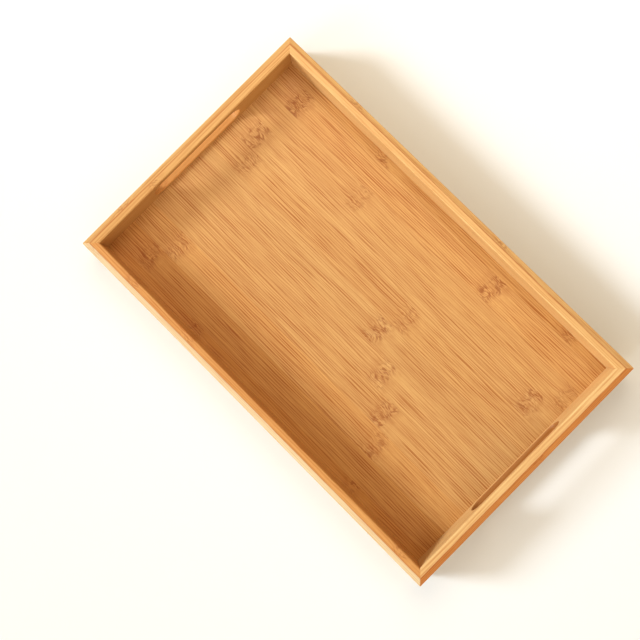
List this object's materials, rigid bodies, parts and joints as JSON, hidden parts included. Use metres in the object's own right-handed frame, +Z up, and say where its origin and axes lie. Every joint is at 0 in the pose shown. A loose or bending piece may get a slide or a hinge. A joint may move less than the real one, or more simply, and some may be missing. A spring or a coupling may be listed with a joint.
{
  "type": "serving tray",
  "caption": "Rectangular bamboo serving tray with mitred laminated rails, a strip-laminated flat floor and a round-ended hand slot through each short rail.",
  "frame": {"origin": "centre of the tray's outline on the surface it stands on", "axes": "+Z up, +X along the long side towards the right end rail, +Y towards the back rail"},
  "size_m": [0.4, 0.25, 0.045],
  "materials": {
    "rail_outer_bamboo": "clear satin lacquer over pale carbonised bamboo",
    "rail_inner_bamboo": "clear satin lacquer over pale carbonised bamboo",
    "floor_face_bamboo": "clear satin lacquer over honey-coloured bamboo",
    "backing_bamboo": "thin satin lacquer over bamboo",
    "core_bamboo": "unfinished, glued in",
    "spline_bamboo": "unfinished, glued in"
  },
  "bodies": {
    "root": {"front_rail_outer": "rail_outer_bamboo", "front_rail_inner": "rail_inner_bamboo", "right_end_rail_outer": "rail_outer_bamboo", "right_end_rail_inner": "rail_inner_bamboo", "back_rail_outer": "rail_outer_bamboo", "back_rail_inner": "rail_inner_bamboo", "left_end_rail_outer": "rail_outer_bamboo", "left_end_rail_inner": "rail_inner_bamboo", "face_strip_01": "floor_face_bamboo", "face_strip_02": "floor_face_bamboo", "face_strip_03": "floor_face_bamboo", "face_strip_04": "floor_face_bamboo", "face_strip_05": "floor_face_bamboo", "face_strip_06": "floor_face_bamboo", "face_strip_07": "floor_face_bamboo", "face_strip_08": "floor_face_bamboo", "face_strip_09": "floor_face_bamboo", "face_strip_10": "floor_face_bamboo", "face_strip_11": "floor_face_bamboo", "core_ply": "core_bamboo", "backing_strip_01": "backing_bamboo", "backing_strip_02": "backing_bamboo", "backing_strip_03": "backing_bamboo", "backing_strip_04": "backing_bamboo", "backing_strip_05": "backing_bamboo", "backing_strip_06": "backing_bamboo", "backing_strip_07": "backing_bamboo", "backing_strip_08": "backing_bamboo", "backing_strip_09": "backing_bamboo", "backing_strip_10": "backing_bamboo", "front_left_spline": "spline_bamboo", "front_right_spline": "spline_bamboo", "back_right_spline": "spline_bamboo", "back_left_spline": "spline_bamboo"}
  },
  "joints": []
}
